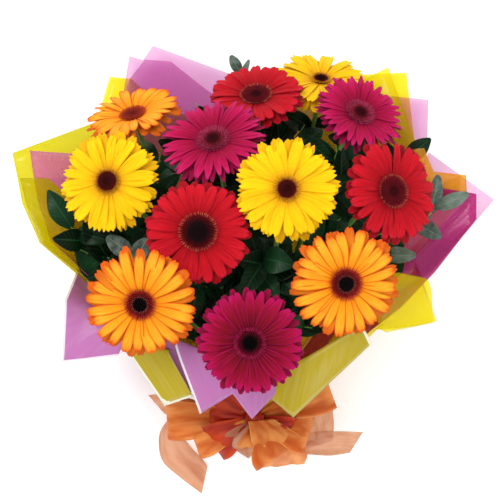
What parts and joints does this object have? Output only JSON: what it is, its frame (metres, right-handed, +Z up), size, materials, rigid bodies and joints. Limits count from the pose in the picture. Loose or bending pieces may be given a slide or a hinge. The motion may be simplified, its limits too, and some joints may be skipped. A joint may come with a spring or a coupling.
{
  "type": "wrapped gerbera bouquet",
  "caption": "Hand-tied gerbera bouquet with dark leaves and eucalyptus in layered translucent film, tied with an organza bow, lying on its back.",
  "frame": {"origin": "middle of the underside, on the surface that the bouquet lies on", "axes": "+Z up, the way the flowers face; -Y towards the tied handle; +X across the bouquet"},
  "size_m": [0.5392, 0.525, 0.2328],
  "materials": {
    "stem": "green flower stem with fine hairs, soft satin",
    "petal_crimson": "velvety crimson petal",
    "petal_red": "velvety red petal",
    "petal_pink": "velvety deep pink petal",
    "petal_orange": "matt orange petal, darker at the tips",
    "petal_yellow": "matt yellow petal",
    "disc": "dark wine-brown middle of small florets",
    "leaf": "dark waxy leaf",
    "eucalyptus": "grey-green bloomed leaf",
    "film_pink": "translucent pink wrapping film",
    "film_yellow": "translucent yellow wrapping film",
    "string": "jute twine",
    "ribbon": "orange organza ribbon"
  },
  "bodies": {
    "root": {"stem_crimson_front": "stem", "petals_crimson_front": "petal_crimson", "disc_crimson_front": "disc", "stem_orange_left": "stem", "petals_orange_left": "petal_orange", "disc_orange_left": "disc", "stem_orange_right": "stem", "petals_orange_right": "petal_orange", "disc_orange_right": "disc", "stem_red_left": "stem", "petals_red_left": "petal_red", "disc_red_left": "disc", "stem_yellow_centre": "stem", "petals_yellow_centre": "petal_yellow", "disc_yellow_centre": "disc", "stem_yellow_left": "stem", "petals_yellow_left": "petal_yellow", "disc_yellow_left": "disc", "stem_red_right": "stem", "petals_red_right": "petal_red", "disc_red_right": "disc", "stem_pink_top": "stem", "petals_pink_top": "petal_pink", "disc_pink_top": "disc", "stem_pink_right": "stem", "petals_pink_right": "petal_pink", "disc_pink_right": "disc", "stem_red_top": "stem", "petals_red_top": "petal_red", "disc_red_top": "disc", "stem_orange_top_left": "stem", "petals_orange_top_left": "petal_orange", "disc_orange_top_left": "disc", "stem_yellow_top_right": "stem", "petals_yellow_top_right": "petal_yellow", "disc_yellow_top_right": "disc", "leaves_left": "leaf", "leaves_centre": "leaf", "leaves_back": "leaf", "leaves_right": "leaf", "eucalyptus_left": "eucalyptus", "eucalyptus_right": "eucalyptus", "eucalyptus_top": "eucalyptus", "film_pink_front": "film_pink", "film_pink_left_low": "film_pink", "film_pink_left": "film_pink", "film_pink_right": "film_pink", "film_pink_back": "film_pink", "film_yellow_front_left": "film_yellow", "film_yellow_front_right": "film_yellow", "film_yellow_right": "film_yellow", "film_yellow_left": "film_yellow", "film_yellow_right_back": "film_yellow", "film_yellow_back": "film_yellow", "tie_string": "string", "ribbon_bow": "ribbon", "ribbon_tail_left": "ribbon", "ribbon_tail_centre": "ribbon", "ribbon_tail_right": "ribbon"}
  },
  "joints": []
}
